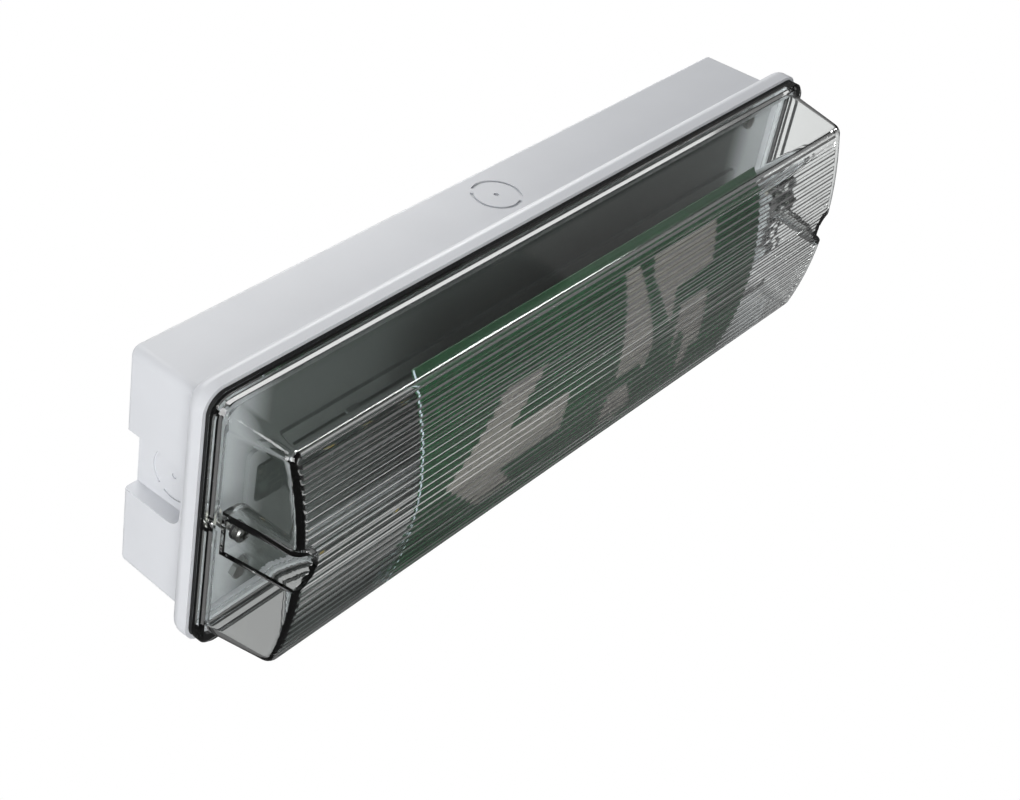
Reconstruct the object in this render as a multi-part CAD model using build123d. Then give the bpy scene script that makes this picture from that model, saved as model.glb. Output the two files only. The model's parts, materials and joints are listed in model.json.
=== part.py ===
from build123d import *
import math
import os

# Emergency exit light of the bulkhead kind, made to be fixed flat to a wall.
# A moulded back box with a rim carries a tray with the light source, the battery and the control gear.
# A clear ribbed cover with a curved sign film behind its ribs closes it, held by a captive screw at each end.
# Everything is modelled lying on its back: x along the length, y up the wall, z out from the wall (depth).
# save() then turns each piece upright, so that the finished part has Z up and its front towards -Y.
# The origin is the centre of the back face. All sizes are in millimetres and degrees.

os.makedirs("parts", exist_ok=True)

# Back box
rim_length = 355.0
rim_height = 112.3
rim_corner = 9.0
least_corner = 1.5        # of the outlines inside the rim
rim_back_round = 5.6      # convex edge behind the rim
rim_start = 31.5          # depth at which the rim steps out of the box
lip_depth = 40.6          # depth of the rim's front edge
rim_step_end = 6.0        # how far the rim stands out of the end walls
rim_step_side = 7.1       # how far it stands out of the top and bottom walls
box_draft = 1.75
box_corner = 3.5
box_back_round = 1.5
wall = 2.5

# Gasket and the groove that it lies in
lip_wall = 1.5
groove_width = 3.4
groove_depth = 2.4
gasket_clearance = 0.1
gasket_height = 4.0
spigot_wall = 1.7         # wall between the groove and the mouth of the box

# Cable recess in each end wall, open to the back
recess_width = 26.6
recess_depth = 28.0
recess_inset = 7.1
recess_corner = 6.0

# Knockouts for 20 mm conduit
knockout_radius = 10.25
knockout_groove = 1.3
knockout_cut = 0.6
knockout_bridge = 3.0
knockout_turn = 35.0       # angle at which the bridges lie
knockout_dimple = 1.1
top_knockout_depth = 15.7
end_knockout_depth = 17.5

# Wall fixing slots
fixing_spacing = 250.0
fixing_radius = 2.6
fixing_slot = 14.0

# Tray and its posts
tray_seat = 35.0
tray_thickness = 1.2
tray_gap = 0.5
tray_corner = 3.0
tray_raise = 1.6          # raised field under the light source
tray_raise_height = 30.0
tray_raise_margin = 4.0   # beyond each end of the light source board
tray_post_radius = 4.0
tray_post_inset_x = 28.0  # from the rim's end edge
tray_post_inset_y = 18.0
tray_screw_radius = 1.5
tray_screw_length = 10.0
screw_clearance = 0.05
screw_across_flats = 5.5
screw_head_height = 2.4

# Cover
flange_width = 2.6        # flange outside the foot of the cover wall
flange_thickness = 4.4
flange_front_bevel = 1.4
foot_inset_end = 4.05     # rim edge to the foot of the end wall
foot_inset_side = 4.95
foot_corner = 9.0
shoulder_depth = 71.9     # depth at which the walls meet the curved front
wall_taper = 3.85         # how far the walls lean in on the way there
crown_rise = 7.4          # bulge of the curved front over the shoulder
cover_wall = 2.2
front_round = 4.8
tongue_gap = 0.4
tongue_wall = 1.6
tongue_reach = 2.8

# Ribs on the inner side of the curved front
rib_count = 25
rib_pitch = 3.66
rib_width = 2.4
rib_height = 0.9
rib_crest = 1.1           # flat on top of each rib
rib_root = 0.5            # sunk into the cover wall
rib_end_gap = 3.0

# Screw pockets in the cover and the captive screws
pocket_radius = 7.5
pocket_inset = 10.5       # rim edge to the screw's axis
pocket_floor = 50.0
pocket_wall = 2.0
shank_radius = 2.0
shank_hole_gap = 0.3
head_radius = 3.5
head_height = 2.8
head_bevel = 0.6
head_slot = 1.1           # width of the cross recess
head_slot_depth = 1.4
seal_radius = 3.6
seal_thickness = 1.0
seal_bore_gap = 0.06
thread_pitch = 1.75
thread_turns = 4
boss_radius = 4.5
boss_top = 38.0
boss_bore_gap = 0.05
boss_bore_end_gap = 0.5
screw_tip_gap = 0.5       # from the boss to the tip when the screw is fully out
retainer_radius = 3.2
retainer_thickness = 1.0
retainer_gap = 0.1
retainer_well_gap = 0.4

# Sign film
film_width = 213.0
film_thickness = 0.5
film_edge_depth = 66.5
film_crown_gap = 0.3
film_edge_gap = 0.25

# Light source
led_board_length = 290.0
led_board_height = 16.0
led_board_thickness = 1.2
led_board_corner = 1.0
led_count = 14
led_pitch = 20.0
led_size = 3.2
led_thickness = 0.8
led_tab_spacing = 200.0   # tabs of the tray that hold the board down
led_tab_length = 6.0
led_tab_thickness = 1.0
led_tab_reach = 1.5
indicator_radius = 2.5
indicator_rim_radius = 3.2
indicator_rim = 1.0
indicator_length = 6.0
indicator_tail = 3.0
indicator_inset_x = 45.5   # from the rim's end edge
indicator_inset_y = 32.15

# Battery
cell_radius = 11.2
cell_length = 42.5
cell_count = 3
battery_x = -45.0
battery_edge_gap = 6.45   # to the bottom wall
battery_stand = 2.2       # clip foot under the battery
clip_width = 9.0
clip_wall = 1.8
clip_gap = 0.15
clip_mouth = 100.0
clip_inset = 26.0
clip_foot_width = 13.0

# Control gear
board_length = 112.0
board_height = 38.0
board_thickness = 1.6
board_corner = 1.5
board_x = -45.0
board_edge_gap = 4.15     # to the top wall
board_stand = 6.0
board_gap = 0.2
board_hook_height = 14.0  # snap hooks at the ends of the board
board_hook_wall = 2.0
board_hook_reach = 1.5
transformer_length = 24.0
transformer_height = 21.0
transformer_depth = 15.0
transformer_bobbin = 3.0
transformer_round = 2.0
transformer_x = -17.0
capacitor_radii = [6.0, 4.5]
capacitor_depths = [18.0, 13.0]
capacitor_pitch = 15.0
capacitor_x = 10.0
connector_length = 14.0
connector_height = 9.0
connector_depth = 11.0
connector_slot = 2.4
connector_poles = 3
connector_x = 45.0

# Mains terminal block
terminal_x = 70.0
terminal_edge_gap = 9.65  # to the top wall
terminal_pole_pitch = 10.0
terminal_poles = 3
terminal_height = 20.0
terminal_depth = 16.0
terminal_ridge = 1.4
terminal_wire_way = 4.0
terminal_wire_reach = 7.0
terminal_way_depth = 5.3   # back of the block to the middle of the wire way
terminal_bevel = 1.0
terminal_screw_radius = 1.9
terminal_screw_height = 3.0
terminal_screw_well = 2.5
terminal_slot = 0.8

# Values worked out from the sizes above
box_length = rim_length - 2 * rim_step_end
box_height = rim_height - 2 * rim_step_side
box_shrink = 2 * rim_start * math.tan(math.radians(box_draft))
cavity_length = box_length - box_shrink - 2 * wall
cavity_height = box_height - box_shrink - 2 * wall
groove_floor = lip_depth - groove_depth
gasket_front = groove_floor + gasket_height
mouth_inset = lip_wall + groove_width + spigot_wall
tray_front = tray_seat + tray_thickness
recess_floor_x = box_length / 2 - recess_inset
screw_x = rim_length / 2 - pocket_inset
flange_front = gasket_front + flange_thickness
foot_length = rim_length - 2 * foot_inset_end
foot_height = rim_height - 2 * foot_inset_side
crown_depth = shoulder_depth + crown_rise
wall_slope = wall_taper / (shoulder_depth - flange_front)
shoulder_half = foot_height / 2 - wall_taper
crown_radius = (shoulder_half**2 + crown_rise**2) / (2 * crown_rise)
thread_travel = thread_pitch * thread_turns
head_seat = pocket_floor + seal_thickness
screw_tip = boss_top - thread_travel + screw_tip_gap
tray_post_x = rim_length / 2 - tray_post_inset_x
tray_post_y = rim_height / 2 - tray_post_inset_y
board_y = cavity_height / 2 - board_edge_gap - board_height / 2
battery_y = -cavity_height / 2 + battery_edge_gap + cell_radius
terminal_y = cavity_height / 2 - terminal_edge_gap - terminal_height / 2
board_back = wall + board_stand
board_front = board_back + board_thickness
led_back = tray_front + tray_raise
led_front = led_back + led_board_thickness
battery_depth = wall + battery_stand + cell_radius
upright = Rot(90, 0, 0)


def prism(length, height, corner, near, far):
    # Straight block with rounded corners between two depths
    return extrude(Pos(0, 0, near) * RectangleRounded(length, height, corner), far - near)


def rim_prism(inset, near, far):
    # Block that follows the rim's outline at a distance inside it
    corner = max(rim_corner - inset, least_corner)
    return prism(rim_length - 2 * inset, rim_height - 2 * inset, corner, near, far)


def rim_ring(inset, width, near, far):
    # Ring of one width that follows the rim's outline
    return rim_prism(inset, near, far) - rim_prism(inset + width, near, far)


def both_ends(shape):
    # The same form at the right end and, mirrored, at the left
    return [shape, mirror(shape, about=Plane.YZ)]


def end_recess(grow):
    # Recess of the right end wall; grow adds the wall round it
    reach = recess_depth + grow
    over = box_back_round + wall
    outline = Plane.YZ * Pos(0, (reach - over) / 2) * Rectangle(recess_width + 2 * grow, reach + over)
    outline = fillet(outline.vertices().group_by(Axis.Z)[-1], recess_corner + grow)
    return Pos(recess_floor_x - grow, 0, 0) * extrude(outline, rim_length / 2 - recess_floor_x + grow)


def knockout():
    # Cutter for one knockout in a wall whose outer face is the plane z = 0
    outline = Circle(knockout_radius) - Circle(knockout_radius - knockout_groove)
    outline -= Rot(0, 0, knockout_turn) * Rectangle(knockout_bridge, 3 * knockout_radius)
    outline += Circle(knockout_dimple)
    return extrude(outline, knockout_cut, both=True)


def top_wall_plane(depth):
    # Plane on the drafted top wall, facing out
    lean = math.radians(box_draft)
    height = box_height / 2 - (rim_start - depth) * math.tan(lean)
    return Plane(origin=(0, height, depth), x_dir=(1, 0, 0), z_dir=(0, math.cos(lean), -math.sin(lean)))


def base_housing():
    # Drafted box, then the rim with its rounded back edge
    back = RectangleRounded(box_length - box_shrink, box_height - box_shrink, box_corner)
    front = Pos(0, 0, rim_start) * RectangleRounded(box_length, box_height, box_corner)
    box = loft([back.face(), front.face()])
    box = fillet(box.edges().group_by(Axis.Z)[0], box_back_round)
    rim = rim_prism(0, rim_start, lip_depth)
    rim = fillet(rim.edges().group_by(Axis.Z)[0], rim_back_round)
    body = box + rim

    # Hollow, mouth for the tray and groove for the gasket
    body -= prism(cavity_length, cavity_height, box_corner - wall / 2, wall, lip_depth + 1)
    body -= rim_prism(mouth_inset, tray_seat, lip_depth + 1)
    body -= rim_ring(lip_wall, groove_width, groove_floor, lip_depth + 1)

    # Cable recesses with their own walls, and the bosses for the cover screws above them
    back_edge = box_shrink + 2 * box_back_round
    inside = prism(box_length - back_edge, box_height - back_edge, box_corner, 0, rim_start)
    for lining in both_ends(end_recess(wall)):
        body += lining & inside
    boss_foot = recess_depth + wall / 2
    boss = Pos(screw_x, 0, boss_foot) * extrude(Circle(boss_radius), boss_top - boss_foot)
    for each in both_ends(boss):
        body += each
    for recess in both_ends(end_recess(0)):
        body -= recess
    bore_length = boss_top - screw_tip + boss_bore_end_gap
    bore = extrude(Circle(shank_radius + boss_bore_gap), bore_length + 1)
    for each in both_ends(Pos(screw_x, 0, boss_top - bore_length) * bore):
        body -= each

    # Posts for the tray and snap hooks for the control gear board
    for place in tray_screw_places():
        body += place * Pos(0, 0, wall / 2) * extrude(Circle(tray_post_radius), tray_seat - wall / 2)
        hole = extrude(Circle(tray_screw_radius + screw_clearance), -tray_screw_length - wall)
        body -= place * Pos(0, 0, tray_front) * hole
    hook = Rectangle(board_hook_reach + board_hook_wall, board_hook_height)
    hook = extrude(hook, board_front + board_hook_wall - wall / 2)
    hook_x = (board_length + board_hook_wall - board_hook_reach) / 2
    for side in (-1, 1):
        body += Pos(board_x + side * hook_x, board_y, wall / 2) * hook
    room_length = board_length + 2 * board_gap
    room_height = board_height + 2 * board_gap
    room = prism(room_length, room_height, board_corner, board_back, board_front + screw_clearance)
    body -= Pos(board_x, board_y) * room

    # Fixing slots, then the knockouts in the top and the ends
    for slot in GridLocations(fixing_spacing, 1, 2, 1):
        body -= slot * Pos(0, 0, -1) * extrude(SlotOverall(fixing_slot, 2 * fixing_radius), wall + 2)
    body -= top_wall_plane(top_knockout_depth).location * knockout()
    end_plane = Plane(origin=(recess_floor_x, 0, end_knockout_depth), x_dir=(0, 0, 1), z_dir=(1, 0, 0))
    for cutter in both_ends(end_plane.location * knockout()):
        body -= cutter
    return body


def rim_gasket():
    inset = lip_wall + gasket_clearance
    return rim_ring(inset, groove_width - 2 * gasket_clearance, groove_floor, gasket_front)


def cover_form(inset):
    # Tapered block under the curved front; inset gives the outer form or the hollow
    near = gasket_front - tongue_reach - 1 if inset else gasket_front
    spread = 2 * wall_slope * (flange_front - near) - 2 * inset
    foot = Pos(0, 0, near) * RectangleRounded(foot_length + spread, foot_height + spread, foot_corner - inset)
    block = extrude(foot, crown_depth - near + 1, taper=math.degrees(math.atan(wall_slope)))
    under = Rot(0, 90, 0) * Cylinder(crown_radius - inset, rim_length)
    under = Pos(0, 0, crown_depth - crown_radius) * under
    form = block & under
    if inset:
        return form
    front = form.faces().sort_by(lambda face: face.center().Z)[-1]
    return fillet(front.edges(), front_round)


def pocket_prism(grow, near, far):
    # Screw pocket of the right end: a half-round channel that opens through the end wall
    radius = pocket_radius + grow
    outline = Pos(screw_x, 0) * Circle(radius)
    outline += Pos(screw_x + rim_length / 4, 0) * Rectangle(rim_length / 2, 2 * radius)
    return extrude(Pos(0, 0, near) * outline, far - near)


def cover_ribs():
    # One comb of prismatic ribs, set along the inner face of the curved front
    inner_radius = crown_radius - cover_wall
    run = foot_length - 2 * (wall_taper + cover_wall + rib_end_gap)
    half = rib_width / 2
    crest = rib_crest / 2
    left = [(-half, rib_root), (-half, 0), (-crest, -rib_height)]
    right = [(crest, -rib_height), (half, 0), (half, rib_root)]
    section = make_face(Polyline(*left, *right, close=True))
    ribs = []
    for number in range(rib_count):
        lean = math.asin((number - (rib_count - 1) / 2) * rib_pitch / inner_radius)
        middle = (inner_radius * math.sin(lean), crown_depth - crown_radius + inner_radius * math.cos(lean))
        place = Plane.YZ * Pos(*middle) * Rot(0, 0, -math.degrees(lean))
        ribs.append(extrude(place * section, run / 2, both=True))
    return ribs


def diffuser():
    outer = cover_form(0)
    hollow = cover_form(cover_wall)

    # Flange with the tongue that drops into the mouth of the box
    flange = rim_prism(foot_inset_end - flange_width, gasket_front, flange_front)
    flange = chamfer(flange.edges().group_by(Axis.Z)[-1], flange_front_bevel)
    tongue_inset = mouth_inset + tongue_gap
    tongue_back = gasket_front - tongue_reach
    tongue = rim_prism(tongue_inset, tongue_back, flange_front)
    body = outer + flange + tongue
    body -= hollow & prism(rim_length, rim_height, 1, flange_front - cover_wall, crown_depth)
    body -= rim_prism(tongue_inset + tongue_wall, tongue_back - 1, flange_front - cover_wall / 2)

    for rib in cover_ribs():
        body += rib & outer
    for lining in both_ends(pocket_prism(pocket_wall, pocket_floor - cover_wall, crown_depth + 1)):
        body += lining & outer
    for pocket in both_ends(pocket_prism(0, pocket_floor, crown_depth + 1)):
        body -= pocket
    hole = extrude(Circle(shank_radius + shank_hole_gap), 3 * cover_wall)
    hole = Pos(screw_x, 0, pocket_floor - 2 * cover_wall) * hole
    well_near = tongue_back - 1
    well = Circle(retainer_radius + retainer_well_gap)
    well = Pos(screw_x, 0, well_near) * extrude(well, pocket_floor - cover_wall - well_near)
    for cut in both_ends(hole) + both_ends(well):
        body -= cut
    return body


def legend_film():
    # Thin sheet sprung between the top and bottom walls, its middle just behind the ribs
    half = foot_height / 2 - cover_wall - film_edge_gap - wall_slope * (film_edge_depth - flange_front)
    crown = crown_depth - cover_wall - rib_height - film_crown_gap
    middle = ThreePointArc((-half, film_edge_depth), (0, crown), (half, film_edge_depth))
    back = Pos(0, -film_thickness) * middle
    edges = [Line(middle @ end, back @ end) for end in (0, 1)]
    section = Plane.YZ * make_face([middle, back] + edges)
    return extrude(section, film_width / 2, both=True)


def gear_tray():
    inset = mouth_inset + tray_gap
    tray = rim_prism(inset, tray_seat, tray_front)
    field_length = led_board_length + 2 * tray_raise_margin
    tray += prism(field_length, tray_raise_height, tray_corner, tray_seat, led_back)
    under_length = field_length - 2 * tray_thickness
    under_height = tray_raise_height - 2 * tray_thickness
    under_front = led_back - tray_thickness
    tray -= prism(under_length, under_height, tray_corner - tray_thickness, tray_seat, under_front)
    tab = Rectangle(led_tab_length, led_tab_thickness + led_tab_reach)
    tab = extrude(tab, led_board_thickness + led_tab_thickness + screw_clearance)
    tab_pitch = led_board_height + led_tab_thickness - led_tab_reach
    for place in GridLocations(led_tab_spacing, tab_pitch, 2, 2):
        tray += place * Pos(0, 0, led_back) * tab
    tray -= prism(led_board_length, led_board_height, led_board_corner, led_back, led_front + screw_clearance)
    notch = Pos(screw_x, 0) * Circle(boss_radius + tray_gap)
    notch += Pos(screw_x + rim_length / 4, 0) * Rectangle(rim_length / 2, 2 * (boss_radius + tray_gap))
    for each in both_ends(extrude(Pos(0, 0, tray_seat) * notch, tray_thickness + tray_raise)):
        tray -= each
    for place in tray_screw_places():
        hole = extrude(Circle(tray_screw_radius + screw_clearance), tray_thickness)
        tray -= place * Pos(0, 0, tray_seat) * hole
    hole = extrude(Circle(indicator_radius + screw_clearance), tray_thickness)
    tray -= indicator_place() * Pos(0, 0, tray_seat) * hole
    return tray


def tray_screw_places():
    # One at each end, at opposite corners
    return [Pos(side * tray_post_x, side * tray_post_y) for side in (-1, 1)]


def tray_screws():
    head = RegularPolygon(screw_across_flats / 2, 6, major_radius=False)
    screw = extrude(head, screw_head_height) + extrude(Circle(tray_screw_radius), -tray_screw_length)
    return Part() + [place * Pos(0, 0, tray_front) * screw for place in tray_screw_places()]


def led_board():
    return prism(led_board_length, led_board_height, led_board_corner, led_back, led_front)


def led_chips():
    chip = extrude(Rectangle(led_size, led_size), led_thickness)
    places = GridLocations(led_pitch, 1, led_count, 1)
    return Part() + [place * Pos(0, 0, led_front) * chip for place in places]


def indicator_place():
    return Pos(rim_length / 2 - indicator_inset_x, indicator_inset_y - rim_height / 2)


def indicator_led():
    lamp = Pos(0, 0, -indicator_tail) * extrude(Circle(indicator_radius), indicator_length)
    lamp += extrude(Circle(indicator_rim_radius), indicator_rim)
    return indicator_place() * Pos(0, 0, tray_front) * lamp


def battery_pack():
    # Stick of cells in one shrink sleeve
    stick = Rot(0, 90, 0) * Cylinder(cell_radius, cell_count * cell_length)
    return Pos(battery_x, battery_y, battery_depth) * stick


def battery_clips():
    # Spring clips that stand on the back wall and hold the stick from both sides
    inner = cell_radius + clip_gap
    ring = Circle(inner + clip_wall) - Circle(inner)
    mouth_half = (inner + clip_wall) * math.tan(math.radians(clip_mouth / 2))
    mouth_front = inner + clip_wall
    mouth = make_face(Polyline((0, 0), (mouth_half, mouth_front), (-mouth_half, mouth_front), close=True))
    section = ring - mouth
    foot = battery_depth - wall
    section += Pos(0, -foot + (foot - inner) / 2) * Rectangle(clip_foot_width, foot - inner) - Circle(inner)
    clip = extrude(Plane.YZ * section, clip_width / 2, both=True)
    reach = cell_count * cell_length / 2 - clip_inset
    return Part() + [Pos(battery_x + side * reach, battery_y, battery_depth) * clip for side in (-1, 1)]


def driver_board():
    return Pos(board_x, board_y) * prism(board_length, board_height, board_corner, board_back, board_front)


def transformer():
    # Core with a wound bobbin that stands out of its window
    core = extrude(Rectangle(transformer_length, transformer_height), transformer_depth)
    width = transformer_length / 2
    bobbin_depth = transformer_depth - 2 * transformer_bobbin
    window = extrude(Rectangle(width, transformer_height + 1), bobbin_depth)
    winding = RectangleRounded(width, transformer_height + transformer_bobbin, transformer_round)
    winding = extrude(winding, bobbin_depth)
    whole = core - Pos(0, 0, transformer_bobbin) * window + Pos(0, 0, transformer_bobbin) * winding
    return Pos(board_x + transformer_x, board_y, board_front) * whole


def capacitors():
    cans = []
    for number, (radius, depth) in enumerate(zip(capacitor_radii, capacitor_depths)):
        place = Pos(board_x + capacitor_x + number * capacitor_pitch, board_y, board_front)
        cans.append(place * extrude(Circle(radius), depth))
    return Part() + cans


def driver_connectors():
    block = extrude(Rectangle(connector_height, connector_length), connector_depth)
    slot = Box(connector_height / 2, connector_slot, connector_depth)
    for place in GridLocations(1, connector_length / connector_poles, 1, connector_poles):
        block -= Pos(0, 0, connector_depth) * place * slot
    return Part() + [Pos(board_x + side * connector_x, board_y, board_front) * block for side in (-1, 1)]


def terminal_block():
    length = terminal_poles * terminal_pole_pitch
    block = extrude(Rectangle(length, terminal_height), terminal_depth)
    block = chamfer(block.edges().group_by(Axis.Z)[-1], terminal_bevel)
    well = extrude(Circle(terminal_screw_well), terminal_depth)
    way = Box(terminal_wire_way, 2 * terminal_wire_reach, terminal_wire_way)
    for place in GridLocations(terminal_pole_pitch, 1, terminal_poles, 1):
        block -= place * Pos(0, 0, terminal_depth - terminal_screw_height - terminal_ridge) * well
        for side in (-1, 1):
            block -= place * Pos(0, side * terminal_height / 2, terminal_way_depth) * way
    gap = Box(terminal_ridge, terminal_height + 1, 2 * terminal_ridge)
    for place in GridLocations(terminal_pole_pitch, 1, terminal_poles - 1, 1):
        block -= place * Pos(0, 0, terminal_depth) * gap
    return Pos(terminal_x, terminal_y, wall) * block


def terminal_screws():
    screw = extrude(Circle(terminal_screw_radius), terminal_screw_height)
    slot = Box(2 * terminal_screw_radius, terminal_slot, terminal_screw_height)
    screw -= Pos(0, 0, terminal_screw_height) * slot
    seat = wall + terminal_depth - terminal_screw_height - terminal_ridge
    places = GridLocations(terminal_pole_pitch, 1, terminal_poles, 1)
    return Part() + [Pos(terminal_x, terminal_y, seat) * place * screw for place in places]


def cover_screw():
    # Captive screw at the right end; the thread stays a plain shank of its outer diameter
    head = Pos(0, 0, head_seat) * extrude(Circle(head_radius), head_height)
    head = chamfer(head.edges().group_by(Axis.Z)[-1], head_bevel)
    for turn in (0, 90):
        slot = Box(1.2 * head_radius, head_slot, 2 * head_slot_depth)
        head -= Pos(0, 0, head_seat + head_height) * Rot(0, 0, turn) * slot
    shank = Pos(0, 0, screw_tip) * extrude(Circle(shank_radius), head_seat - screw_tip)
    return Pos(screw_x, 0, 0) * (head + shank)


def screw_seal():
    ring = extrude(Circle(seal_radius) - Circle(shank_radius + seal_bore_gap), seal_thickness)
    return Pos(screw_x, 0, pocket_floor) * ring


def screw_retainer():
    ring = extrude(Circle(retainer_radius) - Circle(shank_radius), -retainer_thickness)
    return Pos(screw_x, 0, pocket_floor - cover_wall - thread_travel - retainer_gap) * ring


def save(node, shape):
    export_step(upright * shape, f"parts/{node}.step")


single_pieces = {
    "base_housing": base_housing,
    "rim_gasket": rim_gasket,
    "diffuser": diffuser,
    "legend_film": legend_film,
    "gear_tray": gear_tray,
    "tray_screws": tray_screws,
    "led_board": led_board,
    "led_chips": led_chips,
    "indicator_led": indicator_led,
    "battery_pack": battery_pack,
    "battery_clips": battery_clips,
    "driver_board": driver_board,
    "transformer": transformer,
    "capacitors": capacitors,
    "driver_connectors": driver_connectors,
    "terminal_block": terminal_block,
    "terminal_screws": terminal_screws,
}
for node, make in single_pieces.items():
    save(node, make())

end_pieces = {"cover_screw": cover_screw, "screw_seal": screw_seal, "screw_retainer": screw_retainer}
for node, make in end_pieces.items():
    for name, shape in zip(("right", "left"), both_ends(make())):
        save(f"{node}_{name}", shape)
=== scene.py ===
import json
from math import cos, pi, radians, sqrt

import bmesh
import bpy
from mathutils import Matrix, Vector


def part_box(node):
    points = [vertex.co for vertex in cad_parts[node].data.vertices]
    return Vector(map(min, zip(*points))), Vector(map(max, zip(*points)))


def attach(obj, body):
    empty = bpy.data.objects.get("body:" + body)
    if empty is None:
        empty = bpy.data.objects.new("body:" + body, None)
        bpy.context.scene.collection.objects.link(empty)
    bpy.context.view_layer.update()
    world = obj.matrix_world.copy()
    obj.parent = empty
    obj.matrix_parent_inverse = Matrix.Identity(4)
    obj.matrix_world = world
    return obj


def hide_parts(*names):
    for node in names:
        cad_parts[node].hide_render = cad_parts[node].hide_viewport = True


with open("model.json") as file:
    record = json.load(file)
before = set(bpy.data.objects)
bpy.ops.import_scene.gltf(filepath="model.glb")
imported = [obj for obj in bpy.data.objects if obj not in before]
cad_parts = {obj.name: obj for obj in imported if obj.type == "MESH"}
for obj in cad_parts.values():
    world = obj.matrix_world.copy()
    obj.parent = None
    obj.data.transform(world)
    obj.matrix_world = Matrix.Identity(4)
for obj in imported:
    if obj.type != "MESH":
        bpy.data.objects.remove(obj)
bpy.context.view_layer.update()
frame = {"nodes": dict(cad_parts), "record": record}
nodes = frame["nodes"]
mm = 0.001
print("frame loaded:", len(nodes), "nodes")


class Maths:  # a socket that can be used in sums
    def __init__(self, mat, socket):
        self.mat, self.socket = mat, socket

    def math(self, operation, *others):
        sockets = {0: self, **{i + 1: o for i, o in enumerate(others)}}
        return self.mat.node("ShaderNodeMath", {"operation": operation}, sockets)

    def __add__(self, other): return self.math("ADD", other)
    def __sub__(self, other): return self.math("SUBTRACT", other)
    def __rsub__(self, other): return (self * -1) + other
    def __mul__(self, other): return self.math("MULTIPLY", other)
    def over(self, limit): return self.math("GREATER_THAN", limit)
    def under(self, limit): return self.math("LESS_THAN", limit)
    def least(self, other): return self.math("MINIMUM", other)
    def most(self, other): return self.math("MAXIMUM", other)
    def ramp(self, low, high): return self.mat.node(
        "ShaderNodeMapRange", {"clamp": True}, {"Value": self, "From Min": low, "From Max": high})


class Finish:  # one material, built node by node
    def __init__(self, name):
        self.material = bpy.data.materials.new(name)
        self.material.use_nodes = True
        self.tree = self.material.node_tree
        self.shader = self.tree.nodes["Principled BSDF"]
        self.output = self.tree.nodes["Material Output"]

    def node(self, kind, settings=None, sockets=None, out=0):
        new = self.tree.nodes.new(kind)
        for key, value in (settings or {}).items():
            if key == "stops":  # colour ramp as place: colour
                ramp = new.color_ramp.elements
                for i, (place, colour) in enumerate(value.items()):
                    stop = ramp[i] if i < 2 else ramp.new(place)
                    stop.position, stop.color = place, (*colour[:3], 1)
            else:
                setattr(new, key, value)
        for key, value in (sockets or {}).items():
            self.feed(new.inputs[key], value)
        return Maths(self, new.outputs[out])

    def feed(self, socket, value):
        if isinstance(value, Maths):
            self.tree.links.new(value.socket, socket)
        elif socket.type == "RGBA" and not isinstance(value, (int, float)):
            socket.default_value = (*value[:3], 1)
        else:
            socket.default_value = value

    def place(self):  # Object coordinates as x, y, z
        where = self.node("ShaderNodeTexCoord", out="Object")
        split = self.node("ShaderNodeSeparateXYZ", {}, {0: where})
        outs = split.socket.node.outputs
        return where, Maths(self, outs[0]), Maths(self, outs[1]), Maths(self, outs[2])

    def noise(self, scale, detail=3, rough=0.55, at=None):
        at = at or self.node("ShaderNodeTexCoord", out="Object")
        return self.node("ShaderNodeTexNoise", {}, {"Vector": at, "Scale": scale, "Detail": detail, "Roughness": rough})

    def mix(self, factor, first, second):
        return self.node("ShaderNodeMix", {"data_type": "RGBA"}, {0: factor, 6: first, 7: second}, out=2)

    def bump(self, height, strength=0.2, distance=0.0002):
        return self.node("ShaderNodeBump", {}, {"Height": height, "Strength": strength, "Distance": distance})

    def set(self, **values):  # principled sockets by name, spaces as underscores
        for key, value in values.items():
            self.feed(self.shader.inputs[key.replace("_", " ")], value)
        return self


def srgb(code):  # "#rrggbb" as linear colour
    parts = [int(code[i:i + 2], 16) / 255 for i in (1, 3, 5)]
    return tuple(c / 12.92 if c <= 0.04045 else ((c + 0.055) / 1.055) ** 2.4 for c in parts)


mouldedSettings = {"grain": 900, "mottle": 22}


def mouldedPlastic(name, colour, shade=0.93, rough=0.42, bump=0.12):
    f = Finish(name)
    grain = f.noise(mouldedSettings["grain"], 2)
    mottle = f.noise(mouldedSettings["mottle"], 4)
    dark = tuple(c * shade for c in srgb(colour))
    f.set(Base_Color=f.mix(mottle.ramp(0.35, 0.7), srgb(colour), dark),
          Roughness=mottle * 0.12 + (rough - 0.06),
          Normal=f.bump(grain, bump, 0.0001))
    return f.material


trayShade = {"shadeFadeFrom": 0.14, "shadeFadeTo": 0.157}  # metres from the middle, where the painted shade fades out


def trayFinish():  # painted shade: dark behind the sign, where the film shades the tray, and pale at both ends, where light comes in through the clear cover
    f = Finish("tray_grey")
    where, x, y, z = f.place()
    outOfFilmShade = x.math("ABSOLUTE").ramp(trayShade["shadeFadeFrom"], trayShade["shadeFadeTo"])
    mottle = f.noise(mouldedSettings["mottle"], 3, at=where)
    # a9adaf is the tray's own pale grey, #4d5250 is the painted shade behind the film
    f.set(Base_Color=f.mix(outOfFilmShade, srgb("#4d5250"), srgb("#a9adaf")), Roughness=mottle * 0.1 + 0.5,
          Specular_IOR_Level=0.15, Normal=f.bump(f.noise(mouldedSettings["grain"], 2, at=where), 0.03, 0.0001))
    return f.material


def metalFinish(name, colour, rough=0.3):
    f = Finish(name)
    fine = f.noise(1400, 2)
    patch = f.noise(160, 3)
    dark = tuple(c * 0.72 for c in srgb(colour))
    f.set(Base_Color=f.mix(patch, srgb(colour), dark), Metallic=1.0,
          Roughness=fine * 0.15 + (rough - 0.07), Normal=f.bump(fine, 0.08, 0.00005))
    return f.material


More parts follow.
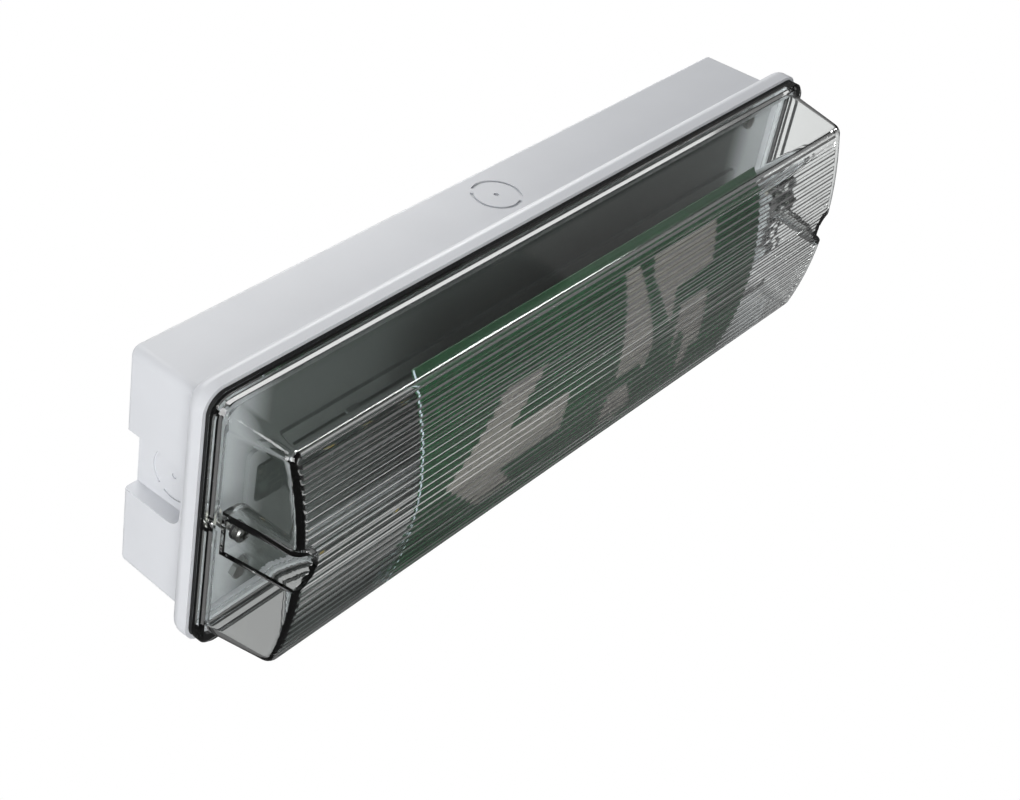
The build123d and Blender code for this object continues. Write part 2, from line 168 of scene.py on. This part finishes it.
def clearFinish():
    f = Finish("clear_moulding")
    haze = f.noise(60, 3)
    f.set(Base_Color=(0.97, 0.98, 0.975), Roughness=haze * 0.03 + 0.015, IOR=1.56, Transmission_Weight=1.0,
          Normal=f.bump(f.noise(35, 2), 0.05, 0.0003))
    clear = f.node("ShaderNodeBsdfTransparent", {}, {"Color": (0.93, 0.94, 0.935)})
    shadow = f.node("ShaderNodeLightPath", out="Is Shadow Ray")
    both = f.node("ShaderNodeMixShader", {}, {0: shadow, 1: Maths(f, f.shader.outputs[0]), 2: clear})
    f.feed(f.output.inputs["Surface"], both)
    return f.material


def sleeveFinish():
    f = Finish("battery_sleeve")
    where, x, y, z = f.place()
    wrinkle = f.node("ShaderNodeTexWave", {"wave_type": "BANDS", "bands_direction": "X"},
                     {"Vector": where, "Scale": 37, "Distortion": 2.5, "Detail": 2})
    join = ((x - 0.0125 * mm).math("PINGPONG", 0.02125)).under(0.0011)
    f.set(Base_Color=f.mix(join, srgb("#2f6a4a"), srgb("#1f4a35")), Roughness=0.32,
          Coat_Weight=0.3, Normal=f.bump(wrinkle, 0.1, 0.0002))
    return f.material


def boardFinish(name, colour, trackColour, padColour, scale=190):
    f = Finish(name)
    where, x, y, z = f.place()
    cells = f.node("ShaderNodeTexVoronoi", {"distance": "CHEBYCHEV", "feature": "F1"},
                   {"Vector": where, "Scale": scale})
    tracks = cells.math("PINGPONG", 0.16).under(0.035)
    pads = cells.under(0.12)
    base = f.mix(tracks * 0.7, srgb(colour), srgb(trackColour))
    f.set(Base_Color=f.mix(pads * 0.6, base, srgb(padColour)), Roughness=0.38 - tracks * 0.08,
          Normal=f.bump(tracks, 0.15, 0.00005))
    return f.material


def filmFinish():
    f = Finish("sign_film_green")
    weave = f.noise(700, 2)
    cloud = f.noise(14, 3)
    # the film's own green, made deep as painted shade of the unlit space behind the translucent film
    f.set(Base_Color=f.mix(cloud.ramp(0.35, 0.7), srgb("#0d4020"), srgb("#0a361b")), Roughness=0.45,
          Normal=f.bump(weave, 0.04, 0.0001))
    return f.material


finishes = {
    "housing_white": mouldedPlastic("housing_white", "#cfd1d5", 0.96, 0.45),
    "gasket_black": mouldedPlastic("gasket_black", "#0b0c0d", 0.8, 0.6),
    "clear_cover": clearFinish(),
    "sign_film": filmFinish(),
    # the print's own white, dimmed to grey as painted shade of the unlit sign behind it
    "sign_print": mouldedPlastic("sign_print_white", "#85827c", 0.96, 0.5, 0.03),
    "tray_grey": trayFinish(),
    "zinc_steel": metalFinish("zinc_steel", "#b9bbb8", 0.34),
    "stainless": metalFinish("stainless", "#a8a9a6", 0.28),
    "board_dark": boardFinish("led_board_mask", "#2f3532", "#394340", "#4a4f48", 120),
    "led_yellow": mouldedPlastic("led_phosphor", "#8d7c42", 0.9, 0.4, 0.02),
    "led_package": mouldedPlastic("led_package", "#6f706b", 0.92, 0.45, 0.02),
    # painted highlight: the pale strip where the film's cut edge catches light
    "film_edge_highlight": mouldedPlastic("film_edge_highlight", "#c4d2dc", 0.95, 0.3, 0.02),
    "indicator_green": mouldedPlastic("indicator_lens", "#3aa653", 0.9, 0.15, 0.01),
    "battery_sleeve": sleeveFinish(),
    "clip_white": mouldedPlastic("clip_white", "#d8d8d2", 0.95, 0.4),
    "board_green": boardFinish("board_green", "#2c6b3c", "#3f8a50", "#b7b08a"),
    "core_dark": metalFinish("core_laminations", "#5a5854", 0.5),
    "capacitor_can": mouldedPlastic("capacitor_sleeve", "#23262b", 0.85, 0.3, 0.02),
    "connector_white": mouldedPlastic("connector_white", "#dedbd0", 0.95, 0.4),
    "terminal_white": mouldedPlastic("terminal_white", "#d6d5cf", 0.95, 0.42),
    "seal_black": mouldedPlastic("seal_black", "#1b1b1c", 0.85, 0.6),
    "retainer_white": mouldedPlastic("retainer_white", "#d9d7cf", 0.95, 0.4),
}
print("finishes made:", len(finishes))

bodies = frame["record"]["behaviour"]["bodies"]
bodyOf = {node: body for body, members in bodies.items() for node in members}
finishOf = {
    "base_housing": "housing_white", "rim_gasket": "gasket_black", "diffuser": "clear_cover",
    "legend_film": "sign_film", "gear_tray": "tray_grey", "tray_screws": "zinc_steel",
    "led_board": "board_dark", "led_chips": "led_yellow", "indicator_led": "indicator_green",
    "battery_pack": "battery_sleeve", "battery_clips": "clip_white", "driver_board": "board_green",
    "transformer": "core_dark", "capacitors": "capacitor_can", "driver_connectors": "connector_white",
    "terminal_block": "terminal_white", "terminal_screws": "zinc_steel",
    "cover_screw_left": "stainless", "cover_screw_right": "stainless",
    "screw_seal_left": "seal_black", "screw_seal_right": "seal_black",
    "screw_retainer_left": "retainer_white", "screw_retainer_right": "retainer_white",
}


def dress(obj, finish, body, *replaced):  # material, body and the solids it stands for
    obj.data.materials.clear()
    obj.data.materials.append(finishes[finish])
    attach(obj, body)
    if replaced:
        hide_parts(*replaced)
    return obj


def toObject(name, bm, smoothAngle=None):
    mesh = bpy.data.meshes.new(name)
    bm.to_mesh(mesh)
    bm.free()
    if smoothAngle is not None:
        mesh.shade_smooth()
        mesh.set_sharp_from_angle(angle=radians(smoothAngle))
    obj = bpy.data.objects.new(name, mesh)
    bpy.context.scene.collection.objects.link(obj)
    return obj


def settled(obj):  # modifiers worked into a plain mesh
    graph = bpy.context.evaluated_depsgraph_get()
    mesh = bpy.data.meshes.new_from_object(obj.evaluated_get(graph))
    obj.modifiers.clear()
    obj.data = mesh
    return obj


shading = {
    "crease": 32, "flat": 0.6, "curve": 20,  # degrees between faces
    "alike": 0.3,  # share of the larger field
    "wide": 4e-6, "merge": 2e-6,  # square metres, metres
}


def flatFields(bm):  # the level field of each face, the fields' sizes, and those that are part of a curve
    level, curve = cos(radians(shading["flat"])), cos(radians(shading["curve"]))
    field, sizes, curved = [-1] * len(bm.faces), [], set()
    for seed in bm.faces:
        if field[seed.index] >= 0:
            continue
        number, size, pending = len(sizes), 0, [seed]
        field[seed.index] = number
        while pending:
            face = pending.pop()
            size += face.calc_area()
            for other in (o for e in face.edges for o in e.link_faces):
                if field[other.index] < 0 and other.normal.dot(face.normal) > level:
                    field[other.index] = number
                    pending.append(other)
        sizes.append(size)
    for edge in bm.edges:
        if len(edge.link_faces) == 2:
            one, two = (field[f.index] for f in edge.link_faces)
            if curve < edge.link_faces[0].normal.dot(edge.link_faces[1].normal) < level:
                if min(sizes[one], sizes[two]) > shading["alike"] * max(sizes[one], sizes[two]):
                    curved |= {one, two}
    return field, sizes, curved


def cornerNormals(bm):  # level fields stay level, rounds blend into them, creases stay sharp
    bm.faces.index_update()
    bm.normal_update()
    field, sizes, curved = flatFields(bm)
    crease = cos(radians(shading["crease"]))
    normals = {}
    for vert in bm.verts:
        waiting = {loop.face.index: loop for loop in vert.link_loops}
        while waiting:
            fan, pending = [], [waiting.popitem()[1]]
            while pending:
                loop = pending.pop()
                fan.append(loop)
                for edge in (loop.edge, loop.link_loop_prev.edge):
                    for other in edge.link_faces:
                        if other.index in waiting and other.normal.dot(loop.face.normal) > crease:
                            pending.append(waiting.pop(other.index))
            flats = [loop for loop in fan if field[loop.face.index] not in curved]
            total = Vector()
            for loop in flats or fan:
                total += loop.face.normal * (sizes[field[loop.face.index]] if flats else loop.calc_angle())
            for loop in fan:
                own = field[loop.face.index] not in curved and sizes[field[loop.face.index]] > shading["wide"]
                normals[loop.face.index, vert.index] = loop.face.normal if own else total.normalized()
    return [normals[face.index, loop.vert.index][:] for face in bm.faces for loop in face.loops]


def smoothCopy(node):  # the solid's own form with even shading
    bm = bmesh.new()
    bm.from_mesh(nodes[node].data)
    bmesh.ops.remove_doubles(bm, verts=bm.verts, dist=shading["merge"])
    bm.verts.index_update()
    normals = cornerNormals(bm)
    obj = toObject(node + "_dressed", bm, shading["crease"])
    obj.data.normals_split_custom_set(normals)
    return dress(obj, finishOf[node], bodyOf[node], node)


for node in finishOf:
    if node != "led_chips":
        smoothCopy(node)
print("solids dressed")

# the row of light sources: a package with a round phosphor window, repeated by a node tree
ledRow = {"Count": 14, "Pitch": 20 * mm, "Width": 3.2 * mm, "Height": 0.7 * mm, "Window": 1.2 * mm, "Proud": 0.1 * mm}


def ledTree():
    tree = bpy.data.node_groups.new("ledRow", "GeometryNodeTree")
    tree.interface.new_socket("Geometry", in_out="OUTPUT", socket_type="NodeSocketGeometry")
    for name, value in ledRow.items():
        kind = "NodeSocketInt" if isinstance(value, int) else "NodeSocketFloat"
        tree.interface.new_socket(name, in_out="INPUT", socket_type=kind)
    given = tree.nodes.new("NodeGroupInput").outputs
    result = tree.nodes.new("NodeGroupOutput").inputs["Geometry"]

    def node(kind, settings=None, sockets=None, out=0):
        new = tree.nodes.new(kind)
        for key, value in (settings or {}).items():
            setattr(new, key, value)
        for key, value in (sockets or {}).items():
            if isinstance(value, bpy.types.NodeSocket):
                tree.links.new(value, new.inputs[key])
            else:
                new.inputs[key].default_value = value
        return new.outputs[out]

    def times(first, second):
        return node("ShaderNodeMath", {"operation": "MULTIPLY"}, {0: first, 1: second})

    last = node("ShaderNodeMath", {"operation": "SUBTRACT"}, {0: given["Count"], 1: 1})
    start = node("ShaderNodeCombineXYZ", {}, {"X": times(times(last, given["Pitch"]), -0.5)})
    step = node("ShaderNodeCombineXYZ", {}, {"X": given["Pitch"]})
    line = node("GeometryNodeMeshLine", {}, {"Count": given["Count"], "Start Location": start, "Offset": step})
    size = node("ShaderNodeCombineXYZ", {}, {"X": given["Width"], "Y": given["Height"], "Z": given["Width"]})
    package = node("GeometryNodeMeshCube", {}, {"Size": size})
    package = node("GeometryNodeTransform", {}, {
        "Geometry": package, "Translation": node("ShaderNodeCombineXYZ", {}, {"Y": times(given["Height"], -0.5)})})
    window = node("GeometryNodeMeshCylinder", {}, {
        "Vertices": 20, "Radius": given["Window"], "Depth": times(given["Proud"], 2)})
    window = node("GeometryNodeTransform", {}, {
        "Geometry": window, "Rotation": (pi / 2, 0, 0),
        "Translation": node("ShaderNodeCombineXYZ", {}, {"Y": times(given["Height"], -1)})})
    both = tree.nodes.new("GeometryNodeJoinGeometry")
    for shape, finish in ((package, "led_package"), (window, "led_yellow")):
        row = node("GeometryNodeInstanceOnPoints", {}, {"Points": line, "Instance": shape})
        row = node("GeometryNodeRealizeInstances", {}, {"Geometry": row})
        row = node("GeometryNodeSetMaterial", {}, {"Geometry": row, "Material": finishes[finish]})
        tree.links.new(row, both.inputs["Geometry"])
    tree.links.new(both.outputs["Geometry"], result)
    return tree


def repeated(name, tree, values):  # a node tree worked out to a plain mesh
    obj = toObject(name, bmesh.new())
    modifier = obj.modifiers.new(name, "NODES")
    modifier.node_group = tree
    for item in tree.interface.items_tree:
        if item.in_out == "INPUT":
            modifier[item.identifier] = values[item.name]
    return settled(obj)


leds = repeated("led_row", ledTree(), ledRow)
ledLow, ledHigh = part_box("led_chips")
leds.data.transform(Matrix.Translation((0, ledHigh[1], (ledLow[2] + ledHigh[2]) / 2)))
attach(leds, bodyOf["led_chips"])
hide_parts("led_chips")
print("light sources repeated:", ledRow["Count"])

# the sign: thin closed prints that lie on the film's curved front

film = {
    "edgeDepth": 66.5 * mm, "lift": 0.03 * mm, "thick": 0.06 * mm, "strip": 1.5 * mm,
    # the edge strip is a painted highlight along the film's cut edge
    "edgeHighlight": {"outer": 106.3, "inner": 105.5, "half": 45.6},  # millimetres from the middle
}
filmLow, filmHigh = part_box("legend_film")
filmHalf = (filmHigh[2] - filmLow[2]) / 2
filmCrown = -filmLow[1]
filmRise = filmCrown - film["edgeDepth"]
filmRadius = (filmHalf ** 2 + filmRise ** 2) / (2 * filmRise)


def filmFront(z):
    return -(filmCrown - filmRadius + sqrt(filmRadius ** 2 - z ** 2))


def onFilm(name, outline, finish):  # outline in millimetres, x and z
    bm = bmesh.new()
    face = bm.faces.new([bm.verts.new((x * mm, 0, z * mm)) for x, z in outline])
    bm.normal_update()
    bmesh.ops.triangulate(bm, faces=[face])
    steps = int(2 * filmHalf / film["strip"])
    for i in range(1, steps):
        level = -filmHalf + i * film["strip"]
        bmesh.ops.bisect_plane(bm, geom=bm.verts[:] + bm.edges[:] + bm.faces[:],
                               plane_co=(0, 0, level), plane_no=(0, 0, 1))
    for v in bm.verts:
        v.co.y = filmFront(v.co.z) - film["lift"]
    outer = bmesh.ops.extrude_face_region(bm, geom=bm.faces[:], use_keep_orig=True)
    for v in (g for g in outer["geom"] if isinstance(g, bmesh.types.BMVert)):
        v.co.y -= film["thick"]
    bmesh.ops.recalc_face_normals(bm, faces=bm.faces[:])
    return dress(toObject(name, bm, 30), finish, "cover")


signPrint = {  # the pale fields: the arrow, and the doorway in four fields round the running figure
    "arrow": [(-90, -8), (-60, 21), (-36, 21), (-57, 2), (-20, 2), (-20, -17), (-57, -17), (-42, -32), (-63, -32)],
    "doorway_left": [(13, 37), (22, 37), (36, -3), (34, -15), (28, -8), (13, -9)],
    "doorway_top": [(32, 37), (75, 37), (72, 19), (47, 18), (46, 2), (40, 12), (31, 29)],
    "doorway_right": [(52, 8), (71, 8), (76, -20), (70, -19), (72, -31), (66, -32), (61, -10), (56, -6), (53, -18)],
    "doorway_foot": [(12, -17), (24, -17), (35, -32), (27, -38), (13, -33)],
}
for part, outline in signPrint.items():
    onFilm("sign_" + part, outline, "sign_print")
outer, inner, half = film["edgeHighlight"].values()
# painted highlight: a pale strip along the film's left edge, where its cut edge catches light
onFilm("film_left_edge_highlight", [(-outer, -half), (-outer, half), (-inner, half), (-inner, -half)], "film_edge_highlight")
print("sign laid on the film")

view = {"place": (-0.51955, -0.36366, 0.43291), "right": (0.62192, -0.76653, 0.16016),
        "up": (0.39978, 0.48666, 0.77675), "focal": 67.48, "sensor": 36}
cameraData = bpy.data.cameras.new("camera")
cameraData.lens, cameraData.sensor_width = view["focal"], view["sensor"]
camera = bpy.data.objects.new("camera", cameraData)
bpy.context.scene.collection.objects.link(camera)
right, up = Vector(view["right"]), Vector(view["up"])
back = right.cross(up)
turn = Matrix((right, up, back)).transposed().to_4x4()
camera.matrix_world = Matrix.Translation(view["place"]) @ turn
bpy.context.scene.camera = camera

studio = {
    "floor": -0.45, "ambient": 0.1, "ambientColour": (0.97, 0.98, 1),
    # how bright the white surroundings look in a reflection, through the cover, and reflected behind or within it
    "gloss": 0.09, "glass": 0.42, "inside": 0.15,
    "softboxes": {
        "back_softbox": {"place": (0.1, 1.25, 0.9), "size": (0.8, 0.6), "watts": 13},
        "right_softbox": {"place": (1.0, 0.3, 0.6), "size": (0.6, 0.6), "watts": 0.15},
        "far_softbox": {"place": (0.75, 0.9, 0.5), "size": (0.5, 0.5), "watts": 8},
        "edge_softbox": {"place": (-1.2, 0.09, 1.13), "size": (0.4, 0.4), "watts": 2.5},
        "rib_softbox": {"place": (0.95, -0.95, 0.75), "size": (0.9, 0.9), "watts": 1.6},
        "front_softbox": {"place": (-1.05, -1.1, 0.3), "size": (0.7, 0.7), "watts": 12},
        "left_fill": {"place": (-1.7, -0.3, 0.3), "size": (0.8, 0.8), "watts": 13},
    },
}


def whiteAround(f, shader, glowThroughCover=0):  # white for the eye, dimmer in reflections and the cover, plain for light
    rays = [f.node("ShaderNodeLightPath", out=o) for o in ("Is Camera Ray", "Is Glossy Ray", "Is Transmission Ray")]
    bounced = f.node("ShaderNodeLightPath", out="Diffuse Depth").over(0.5)
    mirrored = f.node("ShaderNodeLightPath", out="Glossy Depth").over(0.5)
    seen = rays[0].most(rays[1]).most(rays[2]) * (1 - bounced)
    through = f.node("ShaderNodeLightPath", out="Transmission Depth").over(0.5)
    reflected = through * (studio["inside"] - studio["gloss"]) + studio["gloss"]
    level = (1 - mirrored * (1 - reflected)).least(1 - through * (1 - studio["glass"] - glowThroughCover))
    glow = f.node("ShaderNodeEmission", {}, {"Color": (1, 1, 1), "Strength": level})
    return f.node("ShaderNodeMixShader", {}, {0: seen, 1: shader, 2: glow})


floorFinish = Finish("floor_white")
floorFinish.set(Base_Color=floorFinish.mix(floorFinish.noise(6, 3), (0.8, 0.8, 0.8), (0.78, 0.78, 0.78)), Roughness=0.8)
glowThroughCover = floorFinish.place()[1].ramp(0.5, 0.85) * 0.5  # painted light: beyond the far end the floor glows brighter where it is seen through the cover
floorFinish.feed(floorFinish.output.inputs["Surface"],
                 whiteAround(floorFinish, Maths(floorFinish, floorFinish.shader.outputs[0]), glowThroughCover))

bm = bmesh.new()
bmesh.ops.create_grid(bm, x_segments=1, y_segments=1, size=4)
bmesh.ops.translate(bm, verts=bm.verts, vec=(0, 0, studio["floor"]))
floor = toObject("floor", bm)
floor.data.materials.append(floorFinish.material)

world = bpy.data.worlds.new("studio")
bpy.context.scene.world = world
world.use_nodes = True


class Surroundings(Finish):  # the world's own tree, built with the same helpers
    def __init__(self, tree):
        self.tree = tree
        self.shader = tree.nodes["Background"]
        self.output = tree.nodes["World Output"]


around = Surroundings(world.node_tree)
around.set(Color=studio["ambientColour"], Strength=studio["ambient"])
around.feed(around.output.inputs["Surface"], whiteAround(around, Maths(around, around.shader.outputs[0])))


def softbox(name, box):
    data = bpy.data.lights.new(name, "AREA")
    data.shape = "RECTANGLE"
    data.size, data.size_y = box["size"]
    data.energy = box["watts"]
    obj = bpy.data.objects.new(name, data)
    aim = (-Vector(box["place"])).to_track_quat("-Z", "Y").to_matrix().to_4x4()
    obj.matrix_world = Matrix.Translation(box["place"]) @ aim
    bpy.context.scene.collection.objects.link(obj)


for name, box in studio["softboxes"].items():
    softbox(name, box)
bpy.context.scene.view_settings.view_transform = "Standard"
print("camera and light set")
